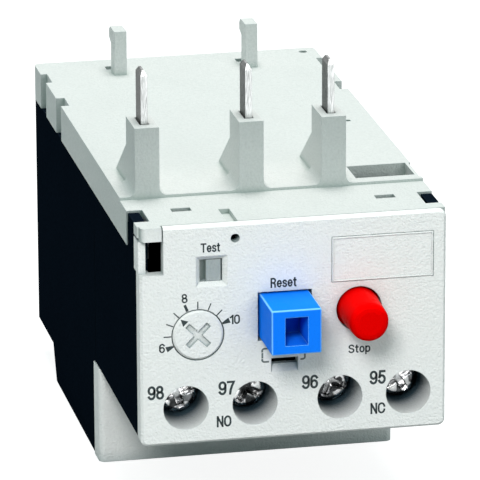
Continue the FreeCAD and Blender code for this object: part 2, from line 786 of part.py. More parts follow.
def stop_button():
    """Round red button, slightly tapered, with a flange behind the cover."""
    body = new_body("stop_button")
    tail = "flange_y + button_flange + button_tail"
    revolve_y(body, "stop_x", "stop_z", [
        ("0", "0 - stop_reach"), ("stop_front_radius - stop_round", "0 - stop_reach"),
        ("stop_front_radius - stop_round / 2", "stop_round * 0.134 - stop_reach"),
        ("stop_front_radius - stop_round * 0.134", "stop_round / 2 - stop_reach"),
        ("stop_front_radius", "stop_round - stop_reach"), ("stop_radius", "0"), ("stop_radius", "flange_y"),
        ("stop_radius + button_flange", "flange_y"),
        ("stop_radius + button_flange", "flange_y + button_flange"),
        ("stop_radius", "flange_y + button_flange"), ("stop_radius", tail), ("0", tail)])
    return body


def test_slide():
    """Slide behind the test window, with a tab that a fingernail or a driver moves."""
    body = new_body("test_slide")
    pad(body, "y", "test_back_y", "test_back_y + test_plate", lambda s: centred(
        s, "test_x", "test_z", "test_width + 2 * test_margin", "test_height + test_margin"))
    pad(body, "y", "test_tab_front_y", "test_back_y + test_plate / 2", lambda s: centred(
        s, "test_x + test_offset", "test_z", "test_tab_width", "test_height - 2 * test_play"))
    return body


def label_plate():
    """Blank marking plate with a fine raised border, in its recess."""
    body = new_body("label_plate")
    pad(body, "y", "0 - label_bead", "label_depth", lambda s: centred(
        s, "label_x", "label_z", "label_width", "label_height"))
    pocket(body, "y", "0 - label_bead - 1", "0", lambda s: centred(
        s, "label_x", "label_z", "label_width - 2 * label_bead_width", "label_height - 2 * label_bead_width"))
    round_edges(body, "Chamfer", "label_bead_bevel", lambda edge: edge.BoundBox.YMax < -1e-6)
    return body


def main_pin(number, place):
    """Pole pin: a blade that goes down its tower, runs back and drops on to the heater."""
    body = new_body("main_pin_%d" % number)
    low = place + " - pin_width / 2"
    high = place + " + pin_width / 2"
    pad(body, "x", low, high, lambda s: polygon(s, [
        ("pin_y", "bus_z"),
        ("heater_y", "bus_z"),
        ("heater_y", "heater_top_z"),
        ("heater_y + bus_bar", "heater_top_z"),
        ("heater_y + bus_bar", "bus_z + bus_bar"),
        ("pin_end_y", "bus_z + bus_bar"),
        ("pin_end_y", "pin_z - pin_chamfer"),
        ("pin_end_y - pin_chamfer", "pin_z"),
        ("pin_y + pin_chamfer", "pin_z"),
        ("pin_y", "pin_z - pin_chamfer")]))
    for side in ("-", "+"):
        pocket(body, "y", "pin_y - 1", "pin_end_y + 1", lambda s: polygon(s, [
            ("%s %s (pin_width / 2 - pin_point)" % (place, side), "pin_z"),
            ("%s %s pin_width / 2" % (place, side), "pin_z - pin_chamfer"),
            ("%s %s (pin_width / 2 + 1)" % (place, side), "pin_z - pin_chamfer"),
            ("%s %s (pin_width / 2 + 1)" % (place, side), "pin_z + 1"),
            ("%s %s (pin_width / 2 - pin_point)" % (place, side), "pin_z + 1")]))
    return body


def bimetal(number, place):
    body = new_body("bimetal_%d" % number)
    pad(body, "z", "floor_z + load_bar", "floor_z + load_bar + bimetal_height",
        lambda s: rectangle(s, place + " - bimetal / 2", place + " + bimetal / 2",
                            "bimetal_y", "bimetal_y + bimetal_width"))
    return body


def heater(number, place):
    """Heater sleeve round the bimetal, with a thick lug in front for the pin."""
    body = new_body("heater_%d" % number)
    side = "bimetal / 2 + heater_play"
    pad(body, "z", "heater_z", "heater_top_z", lambda s: rectangle(
        s, "%s - (%s + heater_wall)" % (place, side), "%s + (%s + heater_wall)" % (place, side),
        "heater_y", "heater_end_y"))
    pocket(body, "z", "heater_z - 1", "heater_top_z + 1", lambda s: rectangle(
        s, "%s - (%s)" % (place, side), "%s + (%s)" % (place, side),
        "bimetal_y - heater_play", "bimetal_y + bimetal_width + heater_play"))
    return body


def load_bar(number, place):
    """Outgoing conductor that lies on the floor and carries the bimetal."""
    body = new_body("load_bar_%d" % number)
    pad(body, "z", "floor_z", "floor_z + load_bar", lambda s: rectangle(
        s, place + " - load_bar_width / 2", place + " + load_bar_width / 2",
        "lower_front_y + wall", "heater_end_y"))
    return body


def trip_slide():
    """Comb that the three bimetals push sideways."""
    body = new_body("trip_slide")
    pad(body, "z", "slide_z", "slide_z + slide_height", lambda s: rectangle(
        s, "pole_1_x", "pole_3_x + finger + 3", "slide_y", "slide_y + slide_bar"))

    def fingers(sketch):
        for place in POLES.values():
            rectangle(sketch, place + " + bimetal / 2 + slide_gap",
                      place + " + bimetal / 2 + slide_gap + finger",
                      "slide_y - finger_reach", "slide_y + sink")

    pad(body, "z", "slide_z", "slide_z + slide_height", fingers)
    return body


def aux_screw(number, place):
    """Terminal screw with a combined cross and slot recess, stopped at its own angle."""
    body = new_body("aux_screw_%d" % number)
    revolve_y(body, place, "aux_z", [
        ("0", "head_y"), ("head_radius - head_bevel", "head_y"),
        ("head_radius", "head_y + head_bevel"), ("head_radius", "head_end_y"),
        ("shank_radius", "head_end_y"), ("shank_radius", "head_end_y + shank_length"),
        ("0", "head_end_y + shank_length")])
    turn = SCREW_TURNS[number]
    pocket(body, "y", "head_y - 1", "head_y + screw_slot_depth", lambda s: turned_bar(
        s, place, "aux_z", "2 * head_radius + 1", "screw_slot_width", turn))
    for degrees in (turn, turn + 90):
        pocket(body, "y", "head_y - 1", "head_y + recess_depth", lambda s: turned_bar(
            s, place, "aux_z", "recess_length", "recess_width", degrees))
    return body


def aux_clamp(number, place):
    """Square nut that draws up towards the terminal plate as its screw turns."""
    body = new_body("aux_clamp_%d" % number)
    pad(body, "y", "nut_y", "nut_y + nut_plate", lambda s: centred(
        s, place, "aux_z", "nut_width", "nut_width"))
    pocket(body, "y", "nut_y - 1", "nut_y + nut_plate + 1", lambda s: circle(
        s, place, "aux_z", "shank_radius + shank_play"))
    return body


def aux_terminal(number, place):
    """Fixed terminal plate with its contact arm."""
    body = new_body("aux_terminal_%d" % number)
    pad(body, "y", "tube_end_y", "terminal_end_y", lambda s: rectangle(
        s, place + " - terminal_width / 2", place + " + terminal_width / 2",
        "block_floor_z", "block_floor_z + terminal_height"))
    pad(body, "y", "tube_end_y", "terminal_end_y", lambda s: rectangle(
        s, place + " - arm_width / 2", place + " + arm_width / 2",
        "block_floor_z + terminal_height - 1", "block_floor_z + terminal_height + arm_height"))
    pocket(body, "y", "tube_end_y - 1", "terminal_end_y + 1", lambda s: circle(
        s, place, "aux_z", "shank_radius + shank_play"))
    return body


bodies = [
    base_housing(),
    top_cover(),
    front_cover(),
    terminal_cover(),
    current_dial(),
    reset_button(),
    stop_button(),
    test_slide(),
    label_plate(),
    trip_slide(),
]
for pole, pole_place in POLES.items():
    bodies.append(main_pin(pole, pole_place))
    bodies.append(heater(pole, pole_place))
    bodies.append(bimetal(pole, pole_place))
    bodies.append(load_bar(pole, pole_place))
for terminal, aux_place in AUX.items():
    bodies.append(aux_screw(terminal, aux_place))
    bodies.append(aux_clamp(terminal, aux_place))
    bodies.append(aux_terminal(terminal, aux_place))

doc.recompute()

for item in doc.Objects:
    if "Invalid" in item.State or "Error" in item.State:
        raise RuntimeError("%s did not build: %s" % (item.Name, item.State))
    if item.TypeId == "PartDesign::Pocket":
        if item.Shape.Volume >= item.BaseFeature.Shape.Volume - 1e-6:
            raise RuntimeError(item.Name + " cuts nothing")

for body in bodies:
    if body.Shape.isNull() or not body.Shape.isValid():
        raise RuntimeError(body.Label + " has no valid shape")
    if len(body.Shape.Solids) != 1:
        raise RuntimeError("%s has %d solids" % (body.Label, len(body.Shape.Solids)))
    body.Shape.exportStep(os.path.join("parts", body.Label + ".step"))
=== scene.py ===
import json
import math

import bmesh
import bpy
from mathutils import Matrix, Vector

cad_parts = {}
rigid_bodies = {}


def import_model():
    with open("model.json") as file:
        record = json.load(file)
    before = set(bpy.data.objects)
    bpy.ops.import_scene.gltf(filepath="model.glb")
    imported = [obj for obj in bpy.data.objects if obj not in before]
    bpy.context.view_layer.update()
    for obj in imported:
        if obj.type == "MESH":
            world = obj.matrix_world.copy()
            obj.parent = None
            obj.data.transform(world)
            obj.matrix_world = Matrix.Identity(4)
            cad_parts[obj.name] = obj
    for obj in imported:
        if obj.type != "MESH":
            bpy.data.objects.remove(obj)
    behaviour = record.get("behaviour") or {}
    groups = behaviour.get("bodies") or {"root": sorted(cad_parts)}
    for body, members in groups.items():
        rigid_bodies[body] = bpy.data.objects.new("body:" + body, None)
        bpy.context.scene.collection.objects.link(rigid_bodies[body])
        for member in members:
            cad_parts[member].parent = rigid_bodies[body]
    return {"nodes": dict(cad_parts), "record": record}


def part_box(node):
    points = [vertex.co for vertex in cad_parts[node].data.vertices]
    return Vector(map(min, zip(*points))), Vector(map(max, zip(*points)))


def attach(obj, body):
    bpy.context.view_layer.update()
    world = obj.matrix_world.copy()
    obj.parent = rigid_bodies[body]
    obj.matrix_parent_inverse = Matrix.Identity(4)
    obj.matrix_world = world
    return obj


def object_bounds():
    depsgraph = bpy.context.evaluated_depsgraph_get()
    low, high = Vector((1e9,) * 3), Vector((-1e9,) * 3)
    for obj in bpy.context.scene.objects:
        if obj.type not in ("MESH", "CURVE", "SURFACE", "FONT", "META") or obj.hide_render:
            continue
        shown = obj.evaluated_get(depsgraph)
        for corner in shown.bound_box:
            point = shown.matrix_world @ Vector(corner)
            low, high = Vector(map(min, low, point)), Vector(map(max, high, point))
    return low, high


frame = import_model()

# Looks of a thermal overload relay, round the solids of the frame. The frame and the lamps are in
# metres. Sizes of prints, edges and shadows are given in millimetres and multiplied by MM.

MM = 0.001
CAD_BOX = [list(corner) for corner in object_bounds()]
BOX_LOW, BOX_HIGH = Vector(CAD_BOX[0]), Vector(CAD_BOX[1])
MIDDLE = (BOX_LOW + BOX_HIGH) / 2
FACE_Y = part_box("front_cover")[0][1]
FACE_NODES = ("front_cover", "label_plate", "current_dial", "reset_button", "stop_button", "terminal_cover")


# ---------------------------------------------------------------- materials

# scales of noise, in waves to the metre
BROAD_NOISE = 90
WAVY_NOISE = 260
PATCH_NOISE = 420
SMEAR_NOISE = 900
PRINT_NOISE = 5200
PAPER_NOISE = 40
# finer patterns of a plastic, against the scale of its grain and the depth of its tone
SPECK_TO_GRAIN = 0.9
SPECK_TO_TONE = 6
POLISH_TO_GRAIN = 0.2
# how much of the rim's colour, a painted highlight or shade, an edge takes
EDGE_PAINT_FULL = 0.8

# the driver holes and how far down the face's plastic takes painted shade in them
DRIVER_HOLES = ("aux_screw_95", "aux_screw_96", "aux_screw_97", "aux_screw_98")
HOLE_RADIUS = 3.45 * MM
HOLE_RIM = 0.1 * MM
SHADE_START = FACE_Y + 0.4 * MM
SHADE_END = FACE_Y + 6.4 * MM
SHADE_FULL = 0.97


class Tree:
    """A node tree, with short calls to add and link nodes."""

    def __init__(self, tree):
        self.tree = tree

    def add(self, kind, **settings):
        node = self.tree.nodes.new(kind)
        for key, value in settings.items():
            setattr(node, key, value)
        return node

    def link(self, source, target):
        self.tree.links.new(source, target)

    def calc(self, operation, one, two=None):
        """The result of a Math node on sockets or numbers."""
        node = self.add("ShaderNodeMath", operation=operation)
        for socket, value in zip(node.inputs, (one, two)):
            if isinstance(value, bpy.types.NodeSocket):
                self.link(value, socket)
            elif value is not None:
                socket.default_value = value
        return node.outputs[0]

    def seen_directly(self):
        """1 on rays from the camera, in mirrors and through glass."""
        path = self.add("ShaderNodeLightPath").outputs
        direct = self.calc("MAXIMUM", path["Is Camera Ray"], path["Is Glossy Ray"])
        return self.calc("MAXIMUM", direct, path["Is Transmission Ray"])


class Nodes(Tree):
    """One node material with a Principled shader and the patterns that it is mixed from."""

    def __init__(self, name):
        self.material = bpy.data.materials.new(name)
        self.material.use_nodes = True
        super().__init__(self.material.node_tree)
        self.shader = self.tree.nodes["Principled BSDF"]
        self.coords = self.add("ShaderNodeTexCoord").outputs["Object"]

    def noise(self, scale, detail=3, stretch=(1, 1, 1)):
        """Cloudy noise from 0 to 1 in the frame of the piece."""
        mapping = self.add("ShaderNodeMapping")
        mapping.inputs["Scale"].default_value = stretch
        self.link(self.coords, mapping.inputs["Vector"])
        node = self.add("ShaderNodeTexNoise")
        node.inputs["Scale"].default_value = scale
        node.inputs["Detail"].default_value = detail
        self.link(mapping.outputs["Vector"], node.inputs["Vector"])
        return node.outputs["Fac"]

    def ramp(self, source, stops):
        """Colours between stops, each a place from 0 to 1 and its colour."""
        node = self.add("ShaderNodeValToRGB")
        ramp = node.color_ramp
        while len(ramp.elements) < len(stops):
            ramp.elements.new(0.5)
        for element, (place, colour) in zip(ramp.elements, stops):
            element.position = place
            element.color = tuple(colour) + (1,)
        self.link(source, node.inputs["Fac"])
        return node.outputs["Color"]

    def range(self, source, low, high, start=0.3, end=0.7):
        """From low to high while the source goes from start to end."""
        node = self.add("ShaderNodeMapRange")
        node.inputs["From Min"].default_value = start
        node.inputs["From Max"].default_value = end
        node.inputs["To Min"].default_value = low
        node.inputs["To Max"].default_value = high
        self.link(source, node.inputs["Value"])
        return node.outputs["Result"]

    def mix(self, factor, one, two):
        """Two colours mixed; each is a socket or three numbers."""
        node = self.add("ShaderNodeMix", data_type="RGBA", blend_type="MIX")
        for socket, value in ((node.inputs[0], factor), (node.inputs[6], one), (node.inputs[7], two)):
            if isinstance(value, bpy.types.NodeSocket):
                self.link(value, socket)
            else:
                socket.default_value = tuple(value) + (1,)
        return node.outputs[2]

    def rounded(self, radius):
        """The normal as if every edge had this radius."""
        node = self.add("ShaderNodeBevel", samples=6)
        node.inputs["Radius"].default_value = radius
        return node.outputs["Normal"]

    def bump(self, height, distance, strength, normal=None):
        node = self.add("ShaderNodeBump")
        node.inputs["Strength"].default_value = strength
        node.inputs["Distance"].default_value = distance
        self.link(height, node.inputs["Height"])
        if normal is not None:
            self.link(normal, node.inputs["Normal"])
        return node.outputs["Normal"]

    def edges(self, soft):
        """1 beside an edge, where the softened normal leaves the normal of the face."""
        dot = self.add("ShaderNodeVectorMath", operation="DOT_PRODUCT")
        self.link(soft, dot.inputs[0])
        self.link(self.add("ShaderNodeNewGeometry").outputs["Normal"], dot.inputs[1])
        return self.range(dot.outputs["Value"], 1, 0, start=0.84, end=0.998)

    def split(self, vector):
        """The X, Y and Z of a vector."""
        node = self.add("ShaderNodeSeparateXYZ")
        self.link(vector, node.inputs[0])
        return node.outputs

    def normal(self):
        """The face's own normal, in the frame of its piece."""
        return self.add("ShaderNodeTexCoord").outputs["Normal"]

    def slants(self):
        """1 on the narrow faces that lie at a slant between faces square to the axes."""
        size = self.add("ShaderNodeVectorMath", operation="ABSOLUTE")
        self.link(self.normal(), size.inputs[0])
        parts = self.split(size.outputs[0])
        largest = self.calc("MAXIMUM", self.calc("MAXIMUM", parts["X"], parts["Y"]), parts["Z"])
        return self.range(largest, 1, 0, start=0.85, end=0.99)

    def crevice(self, distance, own=True):
        """Ambient occlusion, the mask for painted shade: 0 in corners and 1 in the open; with own, only the
        piece itself makes corners.
        """
        node = self.add("ShaderNodeAmbientOcclusion", samples=8, only_local=own)
        node.inputs["Distance"].default_value = distance
        return node.outputs["AO"]


def shade(colour, factor):
    """The colour made darker or lighter by a factor."""
    return tuple(min(1.0, channel * factor) for channel in colour)


def hole_shade(nodes, body, dark):
    """Paint shade down the round driver holes, darker from the mouth to the screw."""
    flat = nodes.add("ShaderNodeVectorMath", operation="MULTIPLY")
    flat.inputs[1].default_value = (1, 0, 1)
    nodes.link(nodes.coords, flat.inputs[0])
    nearest = None
    for screw in DRIVER_HOLES:
        low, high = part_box(screw)
        gap = nodes.add("ShaderNodeVectorMath", operation="DISTANCE")
        gap.inputs[1].default_value = ((low[0] + high[0]) / 2, 0, (low[2] + high[2]) / 2)
        nodes.link(flat.outputs[0], gap.inputs[0])
        distance = gap.outputs["Value"]
        nearest = distance if nearest is None else nodes.calc("MINIMUM", nearest, distance)
    inside = nodes.range(nearest, 1, 0, start=HOLE_RADIUS, end=HOLE_RADIUS + HOLE_RIM)
    deep = nodes.range(nodes.split(nodes.coords)["Y"], 0, SHADE_FULL, start=SHADE_START, end=SHADE_END)
    return nodes.mix(nodes.calc("MULTIPLY", inside, deep), body, dark)


def plastic(name, colour, rough, grain, depth, edge=0.2, tone=0.01, corner_shade=(0.2, 0.2, 0.2), reach=1.2,
            open_at=0.95, gloss=0.1, rim=None, hole=None, own=True, slanted=False):
    """Moulded plastic: cloudy tone, spark-eroded grain, softened edges with a painted highlight or shade,
    painted shade in crevices.

    The grain's depth, the radius of the edges and the reach of the crevices are in millimetres. The
    corner shade factor multiplies the colour in crevices as painted shade. Rim is the colour painted on
    edges as a highlight or shade, also on slanted ones where slanted is set, and hole that of the painted
    shade down the driver holes. Without own, other pieces make crevices too, so their shadows are painted.
    """
    nodes = Nodes(name)
    cloud = nodes.noise(BROAD_NOISE, detail=4)
    body = nodes.ramp(cloud, [(0.3, shade(colour, 1 - tone)), (0.7, shade(colour, 1 + tone))])
    speck = nodes.range(nodes.noise(grain * SPECK_TO_GRAIN, detail=2), 0, 1, start=0.4, end=0.75)
    body = nodes.mix(speck, body, shade(colour, 1 - SPECK_TO_TONE * tone))
    soft = nodes.rounded(edge * MM)
    # painted highlight or shade along the edges, and on slanted faces where slanted is set
    if rim:
        painted_edge = nodes.range(nodes.edges(soft), 0, EDGE_PAINT_FULL, start=0, end=1)
        body = nodes.mix(painted_edge, body, rim)
        if slanted:
            body = nodes.mix(nodes.slants(), body, rim)
    # painted shade: the colour darkens in crevices, and without own also beside other pieces
    lit = nodes.range(nodes.crevice(reach * MM, own), 0, 1, start=0.1, end=open_at)
    body = nodes.mix(lit, tuple(part * dark for part, dark in zip(colour, corner_shade)), body)
    # painted shade down the driver holes
    if hole:
        body = hole_shade(nodes, body, hole)
    nodes.link(body, nodes.shader.inputs["Base Color"])
    nodes.link(nodes.range(nodes.noise(grain * POLISH_TO_GRAIN), rough - 0.06, rough + 0.06),
               nodes.shader.inputs["Roughness"])
    fine = nodes.bump(nodes.noise(grain), distance=depth * MM, strength=0.6, normal=soft)
    wavy = nodes.bump(nodes.noise(WAVY_NOISE, detail=2), distance=0.05 * MM, strength=0.25, normal=fine)
    nodes.link(wavy, nodes.shader.inputs["Normal"])
    nodes.shader.inputs["Specular IOR Level"].default_value = gloss
    return nodes.material


def metal(name, colour, rough, line, stretch=(1, 1, 1), depth=0.006, tarnish=0.8, edge=0.06, shade_x=1.0,
          contrast=0.12, corner_shade=0.3, reach=0.9, crisp=0.18, graze=1.0, detail=3):
    """Worked metal: drawn or rolled lines, uneven polish, tarnish patches, painted shade in the corners.

    The depth, the radius of the edges and the reach of the corners are in millimetres. Below 1, the x shade
    factor paints the faces that look along x darker, as painted shade. Graze tints the reflection at a
    grazing angle.
    """
    nodes = Nodes(name)
    streak = nodes.noise(line, detail, stretch)
    body = nodes.ramp(streak, [(0.5 - crisp, shade(colour, 1 - contrast)),
                               (0.5 + crisp, shade(colour, 1 + contrast))])
    patch = nodes.range(nodes.noise(PATCH_NOISE, detail=4), 0, 0.5, start=0.5, end=0.75)
    body = nodes.mix(patch, body, shade(colour, tarnish))
    # painted shade: the faces that look along x get a darker copy of the colour
    if shade_x < 1:
        across = nodes.calc("ABSOLUTE", nodes.split(nodes.normal())["X"])
        dull = nodes.ramp(streak, [(0.3, shade(colour, shade_x * 0.6)), (0.7, shade(colour, shade_x * 1.6))])
        body = nodes.mix(nodes.range(across, 0, 1, start=0.4, end=0.8), body, dull)
    # painted shade in the corners, deepest in the screws' recesses
    lit = nodes.range(nodes.crevice(reach * MM), 0, 1, start=0.3, end=0.9)
    body = nodes.mix(lit, shade(colour, corner_shade), body)
    nodes.link(body, nodes.shader.inputs["Base Color"])
    nodes.shader.inputs["Metallic"].default_value = 1.0
    nodes.shader.inputs["Specular Tint"].default_value = (graze, graze, graze, 1)
    nodes.link(nodes.range(nodes.noise(SMEAR_NOISE, detail=4), rough - 0.07, rough + 0.1),
               nodes.shader.inputs["Roughness"])
    worked = nodes.bump(streak, distance=depth * MM, strength=0.6, normal=nodes.rounded(edge * MM))
    nodes.link(worked, nodes.shader.inputs["Normal"])
    return nodes.material


def ink(name, colour):
    """Pad-printed ink with slightly uneven cover."""
    nodes = Nodes(name)
    cover = nodes.ramp(nodes.noise(PRINT_NOISE), [(0.35, shade(colour, 0.8)), (0.7, shade(colour, 1.6))])
    nodes.link(cover, nodes.shader.inputs["Base Color"])
    nodes.link(nodes.range(nodes.noise(PRINT_NOISE / 2), 0.45, 0.65), nodes.shader.inputs["Roughness"])
    film = nodes.bump(nodes.noise(PRINT_NOISE, detail=2), distance=0.004 * MM, strength=0.4)
    nodes.link(film, nodes.shader.inputs["Normal"])
    return nodes.material


# The rims paint highlights on edges, darker ones on the face; the corner shade factors and the face's hole
# colour paint shade.
SLOTS = {
    "housing_black": plastic(
        "black_nylon", (0.0060, 0.0105, 0.0190), rough=0.55, grain=2600, depth=0.06, edge=0.26, tone=0.05,
        corner_shade=(0.3, 0.3, 0.3), gloss=0.0, rim=(0.018, 0.03, 0.046)),
    "cover_grey": plastic(
        "grey_nylon", (0.80, 0.80, 0.785), rough=0.55, grain=3000, depth=0.26, edge=0.15, tone=0.012,
        corner_shade=(0.62, 0.72, 0.68), gloss=0.12, rim=(1.0, 1.0, 1.0)),
    "face_grey": plastic(
        "face_nylon", (0.765, 0.772, 0.76), rough=0.55, grain=3300, depth=0.34, edge=0.16, tone=0.008,
        corner_shade=(0.32, 0.40, 0.41), reach=3.2, open_at=0.9, gloss=0.12, rim=(0.62, 0.64, 0.63),
        hole=(0.020, 0.048, 0.068), own=False),
    "blue_plastic": plastic(
        "blue_button", (0.006, 0.187, 0.91), rough=0.35, grain=3800, depth=0.006,
        corner_shade=(0.1, 0.15, 0.3), reach=2.5, open_at=0.8, gloss=0.004, rim=(0.18, 0.50, 1.0), slanted=True),
    "red_plastic": plastic(
        "red_button", (0.72, 0.0003, 0.0003), rough=0.3, grain=3800, depth=0.006,
        reach=1.0, open_at=0.8, gloss=0.003),
    "pin_steel": metal(
        "tinned_blade", (0.68, 0.70, 0.69), rough=0.3, line=2400, stretch=(6, 6, 0.35), depth=0.012,
        tarnish=0.7, edge=0.1, shade_x=0.42, contrast=0.45, corner_shade=0.2, graze=0.3),
    "screw_steel": metal(
        "zinc_plate", (0.86, 0.89, 0.92), rough=0.24, line=620, depth=0.12, tarnish=1.0, edge=0.25,
        contrast=0.93, corner_shade=0.005, reach=0.8, crisp=0.03, graze=0.6, detail=1),
    "terminal_brass": metal("plated_brass", (0.62, 0.55, 0.38), rough=0.34, line=2600, stretch=(1, 0.2, 1)),
    "bimetal": metal("rolled_bimetal", (0.50, 0.46, 0.41), rough=0.4, line=3400, stretch=(1, 1, 0.1)),
    "heater_copper": metal(
        "heater_sleeve", (0.55, 0.34, 0.22), rough=0.42, line=3000, stretch=(1, 1, 6), depth=0.03),
    "slide_amber": plastic(
        "comb_nylon", (0.36, 0.29, 0.20), rough=0.5, grain=2400, depth=0.02, edge=0.1, tone=0.05,
        corner_shade=(0.4, 0.4, 0.4)),
}
INK_DARK = ink("legend_ink", (0.006, 0.015, 0.017))
INK_GREY = ink("worn_mark_ink", (0.075, 0.095, 0.095))

for entry in frame["record"]["subparts"]:
    node = frame["nodes"][entry["node"]]
    finish = SLOTS[entry["material_slot"]]
    if not node.material_slots:
        node.data.materials.append(finish)
    for material_slot in node.material_slots:
        material_slot.material = finish


# ------------------------------------------------------- printed flat shapes

INK = 0.012 * MM
SHARPEST_MITRE = 0.6


def printed(name, build, material, body):
    """A piece of ink, from a function that builds its mesh, riding on a body."""
    mesh = bpy.data.meshes.new(name)
    bm = bmesh.new()
    build(bm)
    bmesh.ops.recalc_face_normals(bm, faces=bm.faces)
    bm.to_mesh(mesh)
    bm.free()
    obj = bpy.data.objects.new(name, mesh)
    bpy.context.scene.collection.objects.link(obj)
    mesh.materials.clear()
    mesh.materials.append(material)
    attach(obj, body)


def flat_shapes(name, outlines, y, material, body="root"):
    """Printed marks: closed outlines in x and z (mm), a hair thick, on the plane y."""

    def build(bm):
        for outline in outlines:
            front = [bm.verts.new((x * MM, y - INK, z * MM)) for x, z in outline]
            back = [bm.verts.new((x * MM, y + INK, z * MM)) for x, z in outline]
            bm.faces.new(front)
            bm.faces.new(list(reversed(back)))
            count = len(outline)
            for i in range(count):
                j = (i + 1) % count
                bm.faces.new((front[j], front[i], back[i], back[j]))

    printed(name, build, material, body)


def band(bm, points, half, closed, y):
    """A flat band of one width along a line of points in x and z (mm)."""
    spots = [Vector(point) for point in points]
    if not closed:
        spots[0] += (spots[0] - spots[1]).normalized() * half
        spots[-1] += (spots[-1] - spots[-2]).normalized() * half
    count = len(spots)
    rings = []
    for i, spot in enumerate(spots):
        ways = []
        if closed or i > 0:
            ways.append((spot - spots[i - 1]).normalized())
        if closed or i < count - 1:
            ways.append((spots[(i + 1) % count] - spot).normalized())
        way = (ways[0] + ways[-1]).normalized()
        # a mitre reaches further than half the width, but not without end
        out = Vector((-way.y, way.x)) * half / max(SHARPEST_MITRE, way.dot(ways[0]))
        ring = []
        for side, back in ((1, -1), (-1, -1), (-1, 1), (1, 1)):
            x = (spot.x + side * out.x) * MM
            z = (spot.y + side * out.y) * MM
            ring.append(bm.verts.new((x, y + back * INK, z)))
        rings.append(ring)
    for i in range(count if closed else count - 1):
        one, two = rings[i], rings[(i + 1) % count]
        for k in range(4):
            m = (k + 1) % 4
            bm.faces.new((one[k], one[m], two[m], two[k]))
    if not closed:
        bm.faces.new(rings[0])
        bm.faces.new(list(reversed(rings[-1])))


def bands(name, lines, half, y, material, body="root"):
    """One piece of printed bands; each line is its points and whether it closes."""

    def build(bm):
        for points, closed in lines:
            band(bm, points, half, closed, y)

    printed(name, build, material, body)


# ----------------------------------------------------------------- lettering

def sweep(x, z, wide, high, start, end, steps=12):
    """Points along part of an oval, from one angle to another in degrees."""
    angles = [math.radians(start + (end - start) * i / steps) for i in range(steps + 1)]
    return [(x + wide * math.cos(angle), z + high * math.sin(angle)) for angle in angles]


def oval(width, low, high, bend):
    """A closed upright oval with straight flanks; bend is the height of each round end."""
    r = width / 2
    return sweep(r, high - bend, r, bend, 0, 180) + sweep(r, low + bend, r, bend, 180, 360)


def curl(wide, high):
    """The double bend of an S, as wide and high as asked."""
    r = wide / 2
    upper = sweep(r, high * 0.76, r * 0.92, high * 0.24, 18, 225)
    lower = sweep(r, high * 0.255, r, high * 0.255, 45, -160)
    return upper + lower


def turned(points, width):
    """The same line, turned half round within a capital's height."""
    return [(width - x, 1 - z) for x, z in points]


SIX = [(sweep(0.26, 0.70, 0.26, 0.30, 28, 180) + [(0.0, 0.30)], False), (oval(0.5, 0.0, 0.6, 0.28), True)]
# Each letter: its width, then the lines of its strokes and whether each closes. Capitals are 1 high.
GLYPHS = {
    "0": (0.5, [(oval(0.5, 0.0, 1.0, 0.3), True)]),
    "1": (0.26, [([(0.0, 0.78), (0.13, 0.83), (0.25, 0.97)], False),
                 ([(0.26, 0.0), (0.26, 1.0)], False)]),
    "5": (0.5, [([(0.46, 1.0), (0.09, 1.0), (0.035, 0.52)], False),
                (sweep(0.24, 0.32, 0.26, 0.32, 142, -155), False)]),
    "6": (0.5, SIX),
    "7": (0.5, [([(0.0, 1.0), (0.5, 1.0), (0.34, 0.66), (0.23, 0.33), (0.18, 0.0)], False)]),
    "8": (0.5, [(oval(0.44, 0.53, 1.0, 0.23), True), (oval(0.5, 0.0, 0.53, 0.25), True)]),
    "9": (0.5, [(turned(points, 0.5), closed) for points, closed in SIX]),
    "N": (0.5, [([(0.0, 0.0), (0.0, 1.0)], False), ([(0.02, 0.95), (0.48, 0.05)], False),
                ([(0.5, 0.0), (0.5, 1.0)], False)]),
    "O": (0.58, [(oval(0.58, 0.0, 1.0, 0.38), True)]),
    "C": (0.56, [(sweep(0.29, 0.64, 0.29, 0.36, 8, 180)
                  + sweep(0.29, 0.36, 0.29, 0.36, 180, 352), False)]),
    "T": (0.54, [([(0.0, 1.0), (0.54, 1.0)], False), ([(0.27, 0.0), (0.27, 0.9)], False)]),
    "R": (0.5, [([(0.0, 0.0), (0.0, 1.0)], False),
                ([(0.1, 1.0)] + sweep(0.26, 0.76, 0.21, 0.24, 90, -90) + [(0.1, 0.52)], False),
                ([(0.28, 0.46), (0.42, 0.36), (0.46, 0.0)], False)]),
    "S": (0.52, [(curl(0.52, 1.0), False)]),
    "e": (0.42, [(sweep(0.21, 0.36, 0.21, 0.36, 0, 318), False), ([(0.09, 0.36), (0.33, 0.36)], False)]),
    "s": (0.38, [(curl(0.38, 0.72), False)]),
    "t": (0.24, [([(0.1, 0.92)] + sweep(0.22, 0.13, 0.12, 0.13, 180, 265), False),
                 ([(0.0, 0.70), (0.03, 0.70)], False), ([(0.17, 0.70), (0.22, 0.70)], False)]),
    "o": (0.42, [(oval(0.42, 0.0, 0.72, 0.3), True)]),
    "p": (0.42, [([(0.0, -0.28), (0.0, 0.72)], False), (oval(0.42, 0.0, 0.72, 0.3), True)]),
}
LETTER_GAP = 0.24
STROKE = 0.195


def legend(name, text, centre, size):
    """Letters of one stroke width, set to a width and height in mm about a point of the face."""
    lines = []
    pen = 0.0
    for letter in text:
        width, strokes = GLYPHS[letter]
        lines += [([(pen + x, z) for x, z in points], closed) for points, closed in strokes]
        pen += width + LETTER_GAP
    pen -= LETTER_GAP
    low = min(z for points, closed in lines for x, z in points)
    weight = STROKE * size[1] / (1 - low + STROKE)
    wide = (size[0] - weight) / pen
    high = (size[1] - weight) / (1 - low)
    placed = []
    for points, closed in lines:
        spots = [(centre[0] + (x - pen / 2) * wide, centre[1] + (z - (1 + low) / 2) * high)
                 for x, z in points]
        placed.append((spots, closed))
    bands(name, placed, weight / 2, FACE_Y, INK_DARK)


# --------------------------------------------------------------- dial's scale

